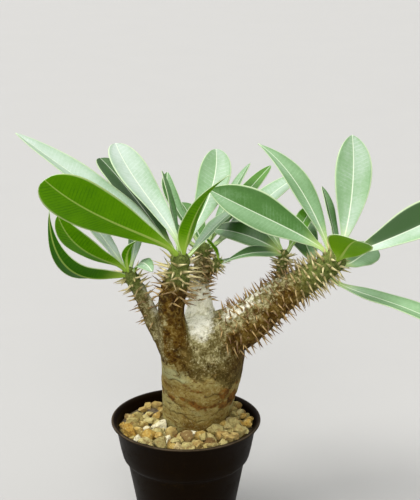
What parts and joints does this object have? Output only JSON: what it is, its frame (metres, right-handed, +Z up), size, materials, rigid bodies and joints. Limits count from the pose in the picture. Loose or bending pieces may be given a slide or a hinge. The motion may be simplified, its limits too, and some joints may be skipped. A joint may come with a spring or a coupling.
{
  "type": "potted pachypodium",
  "caption": "Caudex plant with a swollen grey trunk and spiny branches, each ending in a tuft of long leaves, in a round plastic pot topped with gravel.",
  "frame": {"origin": "centre of the pot's flat underside", "axes": "+Z up, -Y towards the viewer of the plant's front, +X towards its long right branch"},
  "size_m": [0.3083, 0.1845, 0.2855],
  "materials": {
    "pot": "satin, dark brown-black, slightly scuffed",
    "potting_mix": "matte, loose mineral grit and bark",
    "gravel": "matte, mixed cream, ochre and brown stones",
    "caudex": "matte grey-cream bark with rust-brown stains and tan spines",
    "leaf": "waxy satin green with a pale midrib"
  },
  "bodies": {
    "root": {"pot": "pot", "potting_mix": "potting_mix", "gravel": "gravel", "caudex": "caudex", "leaf_front_1": "leaf", "leaf_front_2": "leaf", "leaf_front_3": "leaf", "leaf_front_4": "leaf", "leaf_front_5": "leaf", "leaf_front_6": "leaf", "leaf_front_7": "leaf", "leaf_front_8": "leaf", "leaf_left_1": "leaf", "leaf_left_2": "leaf", "leaf_left_3": "leaf", "leaf_left_4": "leaf", "leaf_left_5": "leaf", "leaf_left_6": "leaf", "leaf_rearTwig_1": "leaf", "leaf_rearTwig_2": "leaf", "leaf_rear_1": "leaf", "leaf_rear_2": "leaf", "leaf_rear_3": "leaf", "leaf_rear_4": "leaf", "leaf_rear_5": "leaf", "leaf_rear_6": "leaf", "leaf_rightTwig_1": "leaf", "leaf_rightTwig_2": "leaf", "leaf_rightTwig_3": "leaf", "leaf_rightTwig_4": "leaf", "leaf_right_1": "leaf", "leaf_right_2": "leaf", "leaf_right_3": "leaf", "leaf_right_4": "leaf", "leaf_right_5": "leaf", "leaf_right_6": "leaf", "leaf_right_7": "leaf", "leaf_right_8": "leaf", "leaf_right_9": "leaf"}
  },
  "joints": []
}
